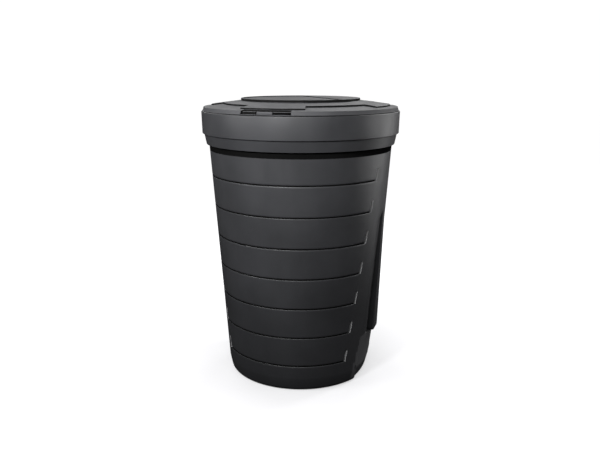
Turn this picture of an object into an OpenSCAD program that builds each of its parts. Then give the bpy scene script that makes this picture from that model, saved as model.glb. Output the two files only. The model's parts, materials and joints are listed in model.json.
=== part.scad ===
// Tapered garden water butt: barrel with a stepped collar and board pattern,
// drop-in lid with a hinged hatch and a push-in bolt, drain outlet and inlet grommet.
// Millimetres, +Z up, origin at the middle of the base on the floor, front at -Y.

/* [Barrel] */
// Radius of the tapered wall where it would meet the floor
base_r = 250.4; // [205:0.1:305]
// Outward lean of the wall in degrees
taper = 4.05; // [3:0.05:5]
// Height of the rim above the floor
rim_z = 900; // [745:1:1085]
// Wall thickness
wall = 4.5; // [3.5:0.1:5.5]
// Radius that rounds the wall into the base
foot_round = 20; // [15:1:25]
// Radius of the raised middle of the base
arch_r = 205; // [150:1:208]
// Height of the raised middle above the floor
arch_h = 8; // [4:1:14]

/* [Collar] */
// How far the rim stands outside the line of the tapered wall
collar_over = 15.9; // [14:0.1:20]
// Height of the collar, from its underside to the rim
collar_h = 107; // [88:1:130]
// Height of the lower, narrower band
low_band_h = 34; // [27:1:42]
// Step between the two bands
band_step = 6; // [4:0.5:8]
// Width of the ledge inside the rim that carries the lid
ledge_w = 6; // [5:0.5:8]
// Thickness of that ledge
ledge_t = 6; // [4:0.5:8]

/* [Boards] */
// Height of one board
board_pitch = 100; // [83:1:121]
// Height of the lowest board line
first_line_z = 91; // [75:1:110]
// Width of a board line
line_w = 4; // [3:0.5:5]
// Depth of a board line
line_d = 2; // [1:0.1:2.6]
// Half of the angle that the lowest board covers
board_half_angle = 51.9; // [46:0.1:56]
// Growth of that half angle from one board to the next
board_spread = 3.05; // [2:0.05:3.2]
// Width of a board-end pocket
pocket_w = 8; // [6:0.5:10]
// Height of a board-end pocket
pocket_h = 38; // [30:1:46]
// Depth of a board-end pocket
pocket_d = 6; // [4:0.5:8]

/* [Side ribs] */
// Height where a side rib starts, above the floor
rib_low_z = 155; // [130:1:186]
// Height where it runs out into the wall
rib_top_z = 590; // [520:1:650]
// Width of the rib at its lower end
rib_w = 60; // [50:1:72]
// How far the lower end stands out of the wall
rib_out = 10; // [6:0.5:14]
// Depth of the flat panel that the rib stands on
panel_d = 11.6; // [8:0.1:13]
// Height of the tap seat below the rib
seat_top_z = 190; // [165:1:225]

/* [Lid] */
// Thickness of the lid's skins
skin = 3.5; // [3:0.1:4.5]
// Height of the sloping skirt above the rim
skirt_h = 14; // [12:0.5:17]
// Width of the ring, from the collar's outside to the hatch's edge
ring_w = 76; // [63:1:92]
// Slope of the lid's top in degrees
lid_slope = 6.4; // [5:0.1:7.5]
// Depth of the rim that drops into the barrel's mouth
spigot_h = 30; // [25:1:36]
// Clearance of that rim in the mouth
spigot_gap = 2; // [1:0.1:3]
// Width of the notch in the front of the skirt
notch_w = 158; // [140:1:170]

/* [Hatch] */
// Height of the lower terrace
step_1 = 5; // [4:0.5:7]
// Height of the upper terrace
step_2 = 8; // [6:0.5:10]
// Width of the lower terrace
terrace_w = 56; // [46:1:66]
// Half of the angle that a raised tongue covers
tongue_half_angle = 20.5; // [16:0.5:24]
// Diameter of the hinge pins
pin_d = 5; // [4:0.1:6]
// Distance of each hinge from the middle
hinge_x = 60; // [50:1:90]

/* [Latch] */
// Width of the bolt's bar
bolt_w = 14; // [12:0.5:17]
// Thickness of the bolt's bar
bolt_t = 5; // [4:0.5:5.5]
// Travel of the bolt
bolt_travel = 8; // [6:0.5:9]

/* [Outlet and inlet] */
// Height of the outlet's axis
outlet_z = 90; // [80:1:105]
// Diameter of the outlet's bore
outlet_bore = 24; // [20:0.5:26]
// Outside diameter of the outlet's sleeve
outlet_d = 33.2; // [32:0.1:36]
// Drop from the rim down to the inlet's axis
inlet_drop = 160; // [140:1:175]
// Diameter of the hose that the inlet grommet takes
hose_d = 25; // [20:0.5:28]

/* [Hidden] */
$fn = 96;
eps = 0.01;
far = 600;
// Clearance between curved faces of pieces that move apart
gap = 0.3;
// Radial clearance of a running fit
run = 0.05;

// Barrel: the tapered wall and the collar
function wall_r(z) = base_r + z * tan(taper);
collar_r = wall_r(rim_z) + collar_over;
collar_z = rim_z - collar_h;
band_z = collar_z + low_band_h;
low_band_lean = 7;
high_band_lean = 2;
foot_steps = 6;
mouth_r = collar_r - wall - ledge_w;
line_count = floor((collar_z - first_line_z) / board_pitch);

// A round corner of radius r about (cx, cz), from angle a to angle b
function arc(cx, cz, r, a, b, n = 6) = [for (i = [0 : n]) let (t = a + (b - a) * i / n)
    [cx + r * cos(t), cz + r * sin(t)]];

// Outline of the barrel at a distance inside its outer face: up the wall and out into the collar
function wall_line(inset, floor_z, round) = concat(
    arc(wall_r(floor_z + round) - inset - round, floor_z + round, round, -90, 0),
    [[wall_r(collar_z - 5 + inset) - inset, collar_z - 5 + inset],
     [collar_r - high_band_lean - band_step - low_band_lean - inset, collar_z + inset],
     [collar_r - high_band_lean - band_step - inset, band_z + inset],
     [collar_r - high_band_lean - inset, band_z + 2 + inset],
     [collar_r - inset, rim_z - (inset > 0 ? ledge_t + ledge_w : 0)]]);

// The solid that the barrel would be if it were full, before its sides are shaped
module full_barrel() {
    rotate_extrude($fn = 180) polygon(concat([[0, 0]], wall_line(0, 0, foot_round), [[0, rim_z]]));
}

module full_inside() {
    inner_arch = arch_r - wall;
    rotate_extrude($fn = 180)
        polygon(concat([[0, arch_h + wall], [inner_arch, arch_h + wall], [arch_r + wall, wall]],
                       wall_line(wall, wall, foot_round - wall),
                       [[mouth_r, rim_z - ledge_t], [mouth_r, rim_z + 10], [0, rim_z + 10]]));
}

// Side panel: everything outside a flat face that leans a little more than the wall.
// inset moves the face inwards; x runs outwards from the barrel's axis.
panel_top_d = 6;
panel_turn_z = rib_top_z - 35;
module panel_cut(inset) {
    rotate([90, 0, 0]) linear_extrude(height = 2 * far / 3, center = true)
        polygon([[wall_r(rib_low_z) - panel_d - inset, rib_low_z + 5 - inset],
                 [wall_r(panel_turn_z) - panel_top_d - inset, panel_turn_z],
                 [wall_r(rib_top_z) + 1 - inset, rib_top_z + 5],
                 [far, rib_top_z + 5], [far, rib_low_z + 5 - inset]]);
}

// Tap seat: everything outside a flatter curved face, cut deeper towards the base
seat_r = 420;
seat_top_d = 4;
seat_low_d = 14;
seat_low_z = 30;
seat_half_angle = 24;
seat_x = wall_r(seat_top_z) - seat_top_d;
seat_lean = atan((seat_x - wall_r(seat_low_z) + seat_low_d) / (seat_top_z - seat_low_z));
module seat_cut(inset) {
    half_w = wall_r(seat_low_z) * sin(seat_half_angle) + inset;
    difference() {
        translate([base_r / 2, -half_w, -1]) cube([far, 2 * half_w, seat_top_z + 1]);
        translate([seat_x - inset, 0, seat_top_z]) rotate([0, seat_lean, 0])
            translate([-seat_r, 0, -far]) cylinder(r = seat_r, h = 2 * far, $fn = 180);
    }
}

// Rib on the panel: its outline seen from the side, and its profile seen from the front
rib_top_w = 35;
rib_corner = 12;
module rib(inset) {
    low = rib_low_z + inset;
    half_low = rib_w / 2 - inset;
    half_top = rib_top_w / 2 - inset;
    corner = rib_corner - inset;
    face_low = wall_r(rib_low_z) + rib_out - inset;
    face_top = wall_r(rib_top_z) - inset;
    edge = 8;
    intersection() {
        rotate([90, 0, 90]) linear_extrude(height = far)
            polygon(concat(arc(-half_low + corner, low + corner, corner, 180, 270),
                           arc(half_low - corner, low + corner, corner, 270, 360),
                           [[half_top, rib_top_z], [-half_top, rib_top_z]]));
        rotate([90, 0, 0]) linear_extrude(height = far, center = true)
            polygon(concat([[base_r * 0.8, low]],
                           arc(face_low - edge, low + edge, edge, -90, 0),
                           [[face_top, rib_top_z], [base_r * 0.8, rib_top_z]]));
    }
}

module both_sides() {
    children();
    mirror([1, 0, 0]) children();
}

module shaped(inset) {
    difference() {
        children();
        both_sides() {
            panel_cut(inset);
            seat_cut(inset);
        }
    }
    both_sides() rib(inset);
}

// Boards
function half_angle(i) = board_half_angle + board_spread * i;
function line_z(i) = first_line_z + board_pitch * i;
module board_line(i) {
    z = line_z(i);
    r = wall_r(z);
    rotate([0, 0, -90 - half_angle(i)]) rotate_extrude(angle = 2 * half_angle(i), $fn = 180)
        polygon([[r - line_d, z - line_w / 2], [r + 5, z - line_w / 2],
                 [r + 5, z + line_w / 2], [r - line_d, z + line_w / 2]]);
}

// A block at the end of a board: grow makes it larger and depth sets how far in it goes
module board_end(i, side, grow, depth, out) {
    z = line_z(i);
    lean = atan(wall_r(z) * board_spread * PI / 180 / board_pitch);
    rotate([0, 0, -90 + side * half_angle(i)]) translate([wall_r(z), 0, z])
        rotate([0, taper, 0]) rotate([-side * lean, 0, 0])
            translate([-depth, -pocket_w / 2 - grow, -line_w / 2 - grow])
                cube([depth + out, pocket_w + 2 * grow, pocket_h + line_w / 2 + 2 * grow]);
}

module board_ends(grow, depth, out) {
    for (i = [0 : line_count - 1], side = [-1, 1], turn = [0, 180])
        rotate([0, 0, turn]) board_end(i, side, grow, depth, out);
}

// Outlet: its seat is a flat round pad on the -X side
pad_t = 8;
outlet_pad_r = 32;
spot_r = outlet_pad_r - 2;
outlet_face_x = wall_r(outlet_z) - 10.8;
outlet_hole_r = outlet_d / 2 + 0.4;
module outlet_pad() {
    translate([-outlet_face_x, 0, outlet_z]) rotate([0, 90, 0]) cylinder(r = outlet_pad_r, h = pad_t);
}
// Spot faces cut the slanting wall away in front of the pad and behind it
module outlet_hole() {
    translate([-outlet_face_x, 0, outlet_z]) rotate([0, 90, 0]) {
        translate([0, 0, -outlet_pad_r]) cylinder(r = outlet_hole_r, h = 2 * outlet_pad_r);
        translate([0, 0, -outlet_pad_r]) cylinder(r = spot_r, h = outlet_pad_r);
        translate([0, 0, pad_t]) cylinder(r = spot_r, h = outlet_pad_r);
    }
}

// Inlet: a flat round pad at the back
inlet_pad_r = 26;
inlet_t = 8;
inlet_neck = hose_d / 2 + 3.5;
inlet_z = rim_z - inlet_drop;
inlet_face_y = wall_r(inlet_z) + 3;
lip_r = inlet_neck + 5;
module inlet_pad() {
    translate([0, inlet_face_y, inlet_z]) rotate([90, 0, 0]) cylinder(r = inlet_pad_r, h = inlet_t);
}
module inlet_hole() {
    translate([0, inlet_face_y, inlet_z]) rotate([90, 0, 0]) {
        translate([0, 0, -inlet_t]) cylinder(r = inlet_neck, h = 4 * inlet_t);
        translate([0, 0, inlet_t]) cylinder(r = lip_r + 1, h = 2 * inlet_t);
    }
}

module barrel_shell() {
    pocket_wall = 3;
    color("dimgray") difference() {
        union() {
            difference() {
                shaped(0) full_barrel();
                shaped(wall) full_inside();
            }
            intersection() {
                board_ends(pocket_wall, pocket_d + pocket_wall, -0.5);
                full_barrel();
            }
            outlet_pad();
            inlet_pad();
        }
        for (i = [0 : line_count - 1], turn = [0, 180]) rotate([0, 0, turn]) board_line(i);
        board_ends(0, pocket_d, 10);
        translate([0, 0, -1]) cylinder(r = arch_r, h = arch_h + 1, $fn = 180);
        outlet_hole();
        inlet_hole();
    }
}

// Outlet parts, drawn along +Z with the pad's face at z = 0 and the tank below it
gasket_t = 2;
flange_r = 28;
flange_t = 5;
sleeve_in = 30;
nut_t = 9;
module at_outlet() {
    translate([-outlet_face_x, 0, outlet_z]) rotate([0, -90, 0]) children();
}
module outlet_fitting() {
    color("black") at_outlet() difference() {
        union() {
            translate([0, 0, gasket_t]) cylinder(r = flange_r, h = flange_t);
            translate([0, 0, -pad_t - sleeve_in]) cylinder(d = outlet_d, h = pad_t + sleeve_in + gasket_t);
        }
        translate([0, 0, -far / 2]) cylinder(d = outlet_bore, h = far);
    }
}
module outlet_gasket() {
    color("dimgray") at_outlet() difference() {
        cylinder(r = flange_r - 1, h = gasket_t);
        translate([0, 0, -1]) cylinder(r = outlet_d / 2 + run, h = gasket_t + 2);
    }
}
module outlet_washer() {
    color("dimgray") at_outlet() translate([0, 0, -pad_t - gasket_t]) difference() {
        cylinder(r = flange_r - 2, h = gasket_t);
        translate([0, 0, -1]) cylinder(r = outlet_d / 2 + run, h = gasket_t + 2);
    }
}
module outlet_nut() {
    color("black") at_outlet() translate([0, 0, -pad_t - gasket_t - nut_t]) difference() {
        cylinder(r = flange_r - 1, h = nut_t, $fn = 6);
        translate([0, 0, -1]) cylinder(r = outlet_d / 2 + run, h = nut_t + 2);
    }
}

// Plug: a shank in the bore, a round head and a wing to turn it by
plug_head_r = 23;
plug_head_t = 6;
seal_t = 1.5;
wing_h = 13;
wing_l = 38;
wing_t = 8;
plug_base = gasket_t + flange_t;
module drain_plug() {
    color("black") at_outlet() translate([0, 0, plug_base]) {
        difference() {
            cylinder(r = plug_head_r, h = plug_head_t);
            translate([0, 0, -eps]) difference() {
                cylinder(r = plug_head_r - 3, h = seal_t + eps);
                translate([0, 0, -1]) cylinder(r = outlet_bore / 2 + 1, h = seal_t + 2);
            }
        }
        translate([0, 0, -22]) cylinder(r = outlet_bore / 2 - run, h = 22 + eps);
        translate([-wing_l / 2, -wing_t / 2, plug_head_t - eps]) cube([wing_l, wing_t, wing_h]);
    }
}
module plug_seal() {
    color("dimgray") at_outlet() translate([0, 0, plug_base]) difference() {
        cylinder(r = plug_head_r - 3 - run, h = seal_t);
        translate([0, 0, -1]) cylinder(r = outlet_bore / 2 + 1 + run, h = seal_t + 2);
    }
}

// Grommet: a neck in the wall's hole between two flanges
module inlet_grommet() {
    lip_t = 3;
    color("black") translate([0, inlet_face_y + lip_t, inlet_z]) rotate([90, 0, 0]) difference() {
        union() {
            cylinder(r = lip_r, h = lip_t);
            cylinder(r = inlet_neck - run, h = inlet_t + 2 * lip_t);
            translate([0, 0, inlet_t + lip_t]) cylinder(r = lip_r, h = lip_t);
        }
        translate([0, 0, -1]) cylinder(d = hose_d, h = inlet_t + 2 * lip_t + 2);
    }
}

// Lid ring
slope = tan(lid_slope);
flange_edge_r = collar_r - 4;
skirt_top_r = collar_r - 8.2;
skirt_low_z = rim_z + skin;
ring_z = rim_z + skirt_h;
hatch_r = collar_r - ring_w;
opening_r = hatch_r - 8;
function ring_top(r) = ring_z + (skirt_top_r - r) * slope;
spigot_r = mouth_r - spigot_gap;
notch_y = skirt_top_r - 20;
notch_low = rim_z + skin;
notch_x = -9;
tab_w = 50;
latch_x = -10;
tab_gap = 0.5;
block_top = ring_z - 2.5;
lip_top = block_top - 0.6;
finger_gap = 5;

module skirt_solid(inset) {
    rotate_extrude($fn = 180)
        polygon([[0, rim_z], [flange_edge_r - inset, rim_z],
                 [flange_edge_r - inset, skirt_low_z - 1.5],
                 [flange_edge_r - 0.6 - inset, skirt_low_z - 1],
                 [skirt_top_r - inset, ring_z - inset], [0, ring_top(0) - inset]]);
}
module lid_skins() {
    lip_z = ring_top(opening_r) - 11;
    rotate_extrude($fn = 180)
        polygon([[spigot_r - skin, rim_z - spigot_h], [spigot_r, rim_z - spigot_h], [spigot_r, rim_z],
                 [flange_edge_r, rim_z], [flange_edge_r, skirt_low_z - 1.5],
                 [flange_edge_r - 0.6, skirt_low_z - 1], [skirt_top_r, ring_z],
                 [opening_r, ring_top(opening_r)], [opening_r, lip_z], [opening_r + skin, lip_z],
                 [opening_r + skin, ring_top(opening_r + skin) - skin],
                 [skirt_top_r - skin, ring_z - skin], [skirt_top_r - skin, skirt_low_z],
                 [spigot_r - skin, skirt_low_z]]);
}

// Hinge line at the back, above the ring
hinge_y = hatch_r + 14;
knuckle_r = 6;
hinge_z = ring_top(hinge_y) + knuckle_r + 2;
knuckle_w = 20;
lug_t = 7;
module along_hinge(length, radius) {
    for (x = [-hinge_x, hinge_x]) translate([x - length / 2, hinge_y, hinge_z]) rotate([0, 90, 0])
        cylinder(r = radius, h = length);
}
module hinge_lugs() {
    for (x = [-hinge_x, hinge_x], s = [-1, 1])
        translate([x + s * (knuckle_w / 2 + gap + lug_t / 2) - lug_t / 2, hinge_y, 0]) {
            translate([0, 0, hinge_z]) rotate([0, 90, 0]) cylinder(r = knuckle_r, h = lug_t);
            translate([0, -knuckle_r, hinge_z - knuckle_r - skin]) cube([lug_t, 2 * knuckle_r, knuckle_r + skin]);
        }
}

// Bolt: runs from the notch to the hatch's rim, under the ring
bolt_z = notch_low + 1.1;
bolt_y0 = skirt_top_r - 10;
rim_out_r = opening_r - 4;
nose_gap = 1.5;
guide_l = 40;
guide_y = (notch_y + opening_r) / 2;
guide_side = 4;
ear_w = 11;
ear_z = bolt_z + 1.4;
ear_t = 3;
screw_x = bolt_w / 2 + gap + guide_side + ear_w / 2;
screw_d = 3.2;
module at_screws() {
    for (s = [-1, 1]) translate([latch_x + s * screw_x, -guide_y, 0]) children();
}
module bolt_bar(grow, y0, y1) {
    translate([latch_x - bolt_w / 2 - grow, -y1, bolt_z - grow])
        cube([bolt_w + 2 * grow, y1 - y0, bolt_t + 2 * grow]);
}

module lid_ring() {
    pocket_wall = 3;
    x0 = notch_x - notch_w / 2;
    x1 = notch_x + notch_w / 2;
    block_x = latch_x - tab_w / 2 - 4.5;
    block_w = 44;
    lip_x = latch_x + tab_w / 2 + tab_gap;
    color("dimgray") difference() {
        union() {
            difference() {
                union() {
                    lid_skins();
                    intersection() {
                        skirt_solid(0);
                        translate([x0 - pocket_wall, -far, rim_z])
                            cube([notch_w + 2 * pocket_wall, far - notch_y + pocket_wall, far]);
                    }
                }
                translate([x0, -far, notch_low]) cube([notch_w, far - notch_y, far]);
            }
            intersection() {
                skirt_solid(0.4);
                union() {
                    translate([block_x - block_w, -far, notch_low - eps])
                        cube([block_w, far - notch_y + eps, block_top - notch_low]);
                    translate([lip_x, -far, notch_low + finger_gap])
                        cube([x1 - lip_x + eps, far - notch_y + eps, lip_top - notch_low - finger_gap]);
                }
            }
            hinge_lugs();
            at_screws() translate([0, 0, ear_z + ear_t])
                cylinder(r = 4.5, h = ring_top(guide_y) - skin / 2 - ear_z - ear_t);
        }
        bolt_bar(0.5, notch_y - pocket_wall - 1, notch_y + 1);
        along_hinge(2 * far, pin_d / 2 + run);
        at_screws() translate([0, 0, ear_z]) cylinder(d = screw_d + 2 * run, h = ear_t + 6);
    }
}

module hinge_pins() {
    color("silver") along_hinge(knuckle_w + 2 * (gap + lug_t), pin_d / 2);
}

module latch_guide() {
    side = bolt_w / 2 + gap + guide_side;
    y0 = -guide_y - guide_l / 2;
    color("black") difference() {
        union() {
            translate([latch_x - side, y0, bolt_z - 3]) cube([2 * side, guide_l, bolt_t + 6.2]);
            translate([latch_x - side - ear_w, -guide_y - 6, ear_z]) cube([2 * (side + ear_w), 12, ear_t]);
        }
        bolt_bar(gap, 0, far);
        translate([latch_x - 4.5, y0 + 6, bolt_z + bolt_t]) cube([9, guide_l - 12, 1.9]);
        at_screws() translate([0, 0, ear_z - 1]) cylinder(d = screw_d + 0.4, h = ear_t + 2);
    }
}
module latch_screws() {
    color("silver") at_screws() {
        translate([0, 0, ear_z - 2.2]) cylinder(d = 6.4, h = 2.2);
        translate([0, 0, ear_z - eps]) cylinder(d = screw_d, h = ear_t + 5);
    }
}
// Leaf in the guide's roof that bears on the bolt in the middle
module latch_spring() {
    t = 0.4;
    top = bolt_z + bolt_t + 1.85;
    low = bolt_z + bolt_t + 0.15;
    half = guide_l / 2 - 6.3;
    flat = 3;
    color("silver") translate([latch_x - 4, -guide_y, 0]) rotate([90, 0, 90]) linear_extrude(height = 8)
        polygon([[-half, top - t], [-flat, low], [flat, low], [half, top - t], [half, top],
                 [flat, low + t], [-flat, low + t], [-half, top]]);
}
module latch_bolt() {
    color("gray") {
        bolt_bar(0, rim_out_r + nose_gap, bolt_y0 + 1);
        intersection() {
            skirt_solid(0.6);
            translate([latch_x - tab_w / 2, -far, notch_low + gap])
                cube([tab_w, far - bolt_y0, block_top - notch_low - gap]);
        }
    }
}

// Hatch: two terraces, radial tongues, a rim below and two hinge arms
terrace_r = hatch_r - terrace_w;
low_top_z = ring_top(hatch_r) + step_1;
function terrace_top(r) = low_top_z + (hatch_r - r) * slope;
high_z = terrace_top(terrace_r) + step_2;
dish = 1.5;
tongue_clear = 5;
tongue_r = notch_y - tongue_clear;
rim_low_z = notch_low - 4.5;
module tongue(reach) {
    intersection() {
        rotate_extrude($fn = 180)
            polygon([[terrace_r - 5, terrace_top(terrace_r) - 1], [terrace_r - 5, high_z - 4],
                     [reach, ring_top(reach) + gap + 2.2 + (tongue_r - reach) * 0.05],
                     [reach, ring_top(reach) + gap],
                     [hatch_r - 1, ring_top(hatch_r - 1) + gap]]);
        rotate([0, 0, -90]) linear_extrude(height = 2 * far)
            polygon([[0, 0], far * [cos(tongue_half_angle), -sin(tongue_half_angle)],
                     far * [cos(tongue_half_angle), sin(tongue_half_angle)]]);
    }
}
module hatch() {
    rim_in_r = rim_out_r - skin;
    color("gray") difference() {
        union() {
            rotate_extrude($fn = 180)
                polygon([[0, high_z - dish], [terrace_r, high_z], [terrace_r, terrace_top(terrace_r)],
                         [hatch_r, low_top_z], [hatch_r, ring_top(hatch_r) + gap],
                         [rim_out_r, ring_top(rim_out_r) + gap], [rim_out_r, rim_low_z],
                         [rim_in_r, rim_low_z], [rim_in_r, terrace_top(rim_in_r) - skin],
                         [terrace_r - skin, terrace_top(terrace_r) - skin],
                         [terrace_r - skin, high_z - skin - 0.2], [0, high_z - dish - skin]]);
            for (turn = [0, 90, 270]) rotate([0, 0, turn]) tongue(tongue_r);
            rotate([0, 0, 180]) tongue(hatch_r - eps);
            along_hinge(knuckle_w, knuckle_r);
            for (x = [-hinge_x, hinge_x])
                translate([x - knuckle_w / 2, opening_r - 2, hinge_z - 3.5])
                    cube([knuckle_w, hinge_y - opening_r + 2, 7]);
        }
        along_hinge(far, pin_d / 2 + run);
        bolt_bar(0.8, rim_in_r - 5, rim_out_r + 0.5);
    }
}

barrel_shell();
outlet_fitting();
outlet_gasket();
outlet_washer();
outlet_nut();
drain_plug();
plug_seal();
inlet_grommet();
lid_ring();
hinge_pins();
latch_guide();
latch_screws();
latch_spring();
latch_bolt();
hatch();
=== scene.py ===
# %% [markdown]
# # A garden water butt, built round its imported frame
# A water butt is a large tapered barrel of moulded plastic that stands in the garden and stores rain.
# The frame holds its sizes, joints and collision bodies. These cells rebuild the parts that show as
# smooth surfaces worked out with numpy, give every part a procedural finish and light the scene.

# %% Load the frame
import json
import math
import bpy
import numpy as np
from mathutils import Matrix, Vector


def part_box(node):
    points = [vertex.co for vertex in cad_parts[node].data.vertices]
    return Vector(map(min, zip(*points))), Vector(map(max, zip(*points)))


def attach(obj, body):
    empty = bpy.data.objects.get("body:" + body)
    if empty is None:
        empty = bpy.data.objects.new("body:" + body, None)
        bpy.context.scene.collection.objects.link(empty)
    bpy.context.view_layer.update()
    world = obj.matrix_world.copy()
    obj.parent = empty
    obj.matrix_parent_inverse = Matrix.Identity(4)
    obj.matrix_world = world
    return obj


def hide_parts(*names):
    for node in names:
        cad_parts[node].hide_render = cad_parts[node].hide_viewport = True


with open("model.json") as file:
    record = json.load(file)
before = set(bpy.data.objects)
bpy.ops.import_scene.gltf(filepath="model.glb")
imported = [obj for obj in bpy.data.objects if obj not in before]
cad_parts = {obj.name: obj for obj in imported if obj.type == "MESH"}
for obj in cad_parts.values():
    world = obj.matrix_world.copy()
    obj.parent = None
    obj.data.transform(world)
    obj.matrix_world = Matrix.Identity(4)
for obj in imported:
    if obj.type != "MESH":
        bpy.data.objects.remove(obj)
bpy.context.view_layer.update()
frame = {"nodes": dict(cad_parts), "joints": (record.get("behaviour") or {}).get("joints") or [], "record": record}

# %% [markdown]
# ## Reading the main sizes
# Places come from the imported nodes, so that each new surface lies where the frame has it. A few sizes
# of the moulding, such as its taper and wall, are named here in metres.

# %% Main sizes
MM = 0.001
SHELL_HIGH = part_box("barrel_shell")[1]
RIM_Z, COLLAR_R = SHELL_HIGH.z, SHELL_HIGH.y
TAPER = math.tan(math.radians(4.05))
WALL = 4.5 * MM
COLLAR_OVER = 15.9 * MM
BASE_R = COLLAR_R - COLLAR_OVER - RIM_Z * TAPER
print(f"rim at {RIM_Z:.3f} m, collar radius {COLLAR_R:.4f} m, wall meets the floor at {BASE_R:.4f} m")


# %% [markdown]
# ## Small numpy helpers
# A smooth step runs from 0 to 1 between two values with a level start and end. Most of the relief on
# this moulding is one of these steps times a depth. A second helper spaces rows between fixed places,
# so that an edge always has a row of points on it.

# %% Helpers for relief
def step(low, high, x):
    """0 below low, 1 above high, and 3t^2 - 2t^3 between them, with t the share of the way across."""
    t = np.clip((x - low) / (high - low), 0.0, 1.0)
    return t * t * (3.0 - 2.0 * t)


def band(low, high, soft, x):
    """1 between low and high and 0 outside, with an edge of width soft centred on each limit."""
    return step(low - soft / 2, low + soft / 2, x) * (1.0 - step(high - soft / 2, high + soft / 2, x))


def spaced(places, largest):
    """The places in order, with evenly spaced values added wherever a gap is wider than largest."""
    places = np.unique(np.round(places, 6))
    runs = [np.linspace(a, b, max(2, int(np.ceil((b - a) / largest)) + 1))[:-1]
            for a, b in zip(places[:-1], places[1:])]
    return np.concatenate(runs + [places[-1:]])


def fillet(points, radii, turns):
    """The outline with each corner replaced by an arc of the given radius, which touches both sides.
    The arc's centre lies on the corner's bisector at radius / sin(half the corner's angle)."""
    points = np.asarray(points, float)
    out = [points[:1]]
    for before, corner, after, radius in zip(points[:-2], points[1:-1], points[2:], radii):
        u = (before - corner) / np.linalg.norm(before - corner)
        v = (after - corner) / np.linalg.norm(after - corner)
        half = math.acos(np.clip(np.dot(u, v), -1.0, 1.0)) / 2
        if radius <= 0 or half > math.pi / 2 - 0.02:
            out.append(corner[None])
            continue
        room = 0.49 * min(np.linalg.norm(before - corner), np.linalg.norm(after - corner))
        radius = min(radius, room * math.tan(half))
        centre = corner + (u + v) / np.linalg.norm(u + v) * radius / math.sin(half)
        start = corner + u * radius / math.tan(half) - centre
        end = corner + v * radius / math.tan(half) - centre
        t = np.linspace(0, 1, turns + 1)[:, None]
        spokes = start * (1 - t) + end * t
        out.append(centre + spokes / np.linalg.norm(spokes, axis=1, keepdims=True) * radius)
    out.append(points[-1:])
    return np.concatenate(out)


def add_rows(outline, longest):
    """The outline with extra points wherever two neighbours are further apart than longest."""
    out = []
    for a, b in zip(outline[:-1], outline[1:]):
        n = max(1, int(np.ceil(np.linalg.norm(b - a) / longest)))
        out.append(a + (b - a) * (np.arange(n) / n)[:, None])
    return np.concatenate(out + [outline[-1:]])


# %% Helpers for meshes
def make_piece(name, points, faces, sharp):
    """A mesh object at the origin from points and faces, shaded smooth up to an edge angle of sharp."""
    mesh = bpy.data.meshes.new(name)
    mesh.from_pydata(np.asarray(points, float).tolist(), [], faces)
    mesh.validate()
    mesh.shade_smooth()
    mesh.set_sharp_from_angle(angle=math.radians(sharp))
    piece = bpy.data.objects.new(name, mesh)
    bpy.context.scene.collection.objects.link(piece)
    return piece


def net_faces(rows, cols, closed_rows=False):
    """Quads of a net whose columns close round, in rows that may close too, as index lists."""
    r = np.arange(rows if closed_rows else rows - 1)[:, None]
    c = np.arange(cols)[None, :]
    r2, c2 = (r + 1) % rows, (c + 1) % cols
    quads = np.stack([r * cols + c, r * cols + c2, r2 * cols + c2, r2 * cols + c], axis=-1)
    return quads.reshape(-1, 4).tolist()


def capped_net(net):
    """Points and faces of a net of closed rings, with a fan to a single point at each end."""
    rows, cols = net.shape[:2]
    low, high = net[0].mean(axis=0), net[-1].mean(axis=0)
    points = np.concatenate([net.reshape(-1, 3), [low, high]])
    c = np.arange(cols)
    c2 = (c + 1) % cols
    last = (rows - 1) * cols
    fan_low = np.stack([np.full(cols, rows * cols), c2, c], axis=-1)
    fan_high = np.stack([np.full(cols, rows * cols + 1), last + c, last + c2], axis=-1)
    return points, net_faces(rows, cols) + fan_low.tolist() + fan_high.tolist()


def outward(points, faces):
    """The faces of a closed shell, turned round if its signed volume is negative. The volume is a
    sixth of the sum of a . (b x c) over the triangles that fan out from each face's first corner."""
    points = np.asarray(points, float)
    total = 0.0
    for size in set(map(len, faces)):
        f = np.array([face for face in faces if len(face) == size])
        for k in range(1, size - 1):
            a, b, c = points[f[:, 0]], points[f[:, k]], points[f[:, k + 1]]
            total += float(np.einsum("ij,ij->", a, np.cross(b, c)))
    return faces if total > 0 else [face[::-1] for face in faces]


def joined(parts):
    """Points and faces of several closed shells as one mesh, each shell facing outwards."""
    points, faces, start = [], [], 0
    for part_points, part_faces in parts:
        points.append(np.asarray(part_points, float))
        faces += [[i + start for i in face] for face in outward(part_points, part_faces)]
        start += len(part_points)
    return np.concatenate(points), faces


def around_z(r, angle, z):
    """Points at radii r and heights z, at angles in degrees from the front: x = r sin a, y = -r cos a."""
    a = np.radians(angle)
    return np.stack(np.broadcast_arrays(r * np.sin(a), -r * np.cos(a), z), axis=-1)


def turned(outline, angles):
    """Net of points where the (radius, height) outline is turned about +Z."""
    return around_z(outline[:, :1], angles[None, :], outline[:, 1:])


def report(piece):
    """Print the triangles and the volume, a sixth of the sum of a . (b x c) over the triangles."""
    mesh = piece.data
    mesh.calc_loop_triangles()
    points = np.array([vertex.co for vertex in mesh.vertices])
    a, b, c = points[[triangle.vertices[:] for triangle in mesh.loop_triangles]].transpose(1, 0, 2)
    litres = np.einsum("ij,ij->", a, np.cross(b, c)) / 6 * 1000
    print(f"{piece.name}: {len(mesh.loop_triangles)} triangles, {litres:.3f} litres of material")


def make_part(name, parts, body, node=None, sharp=38):
    """Join closed shells into a piece that rides on a body. It may stand in for a CAD node."""
    piece = make_piece(name, *joined(parts), sharp)
    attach(piece, body)
    if node:
        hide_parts(node)
    report(piece)
    return piece


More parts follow.
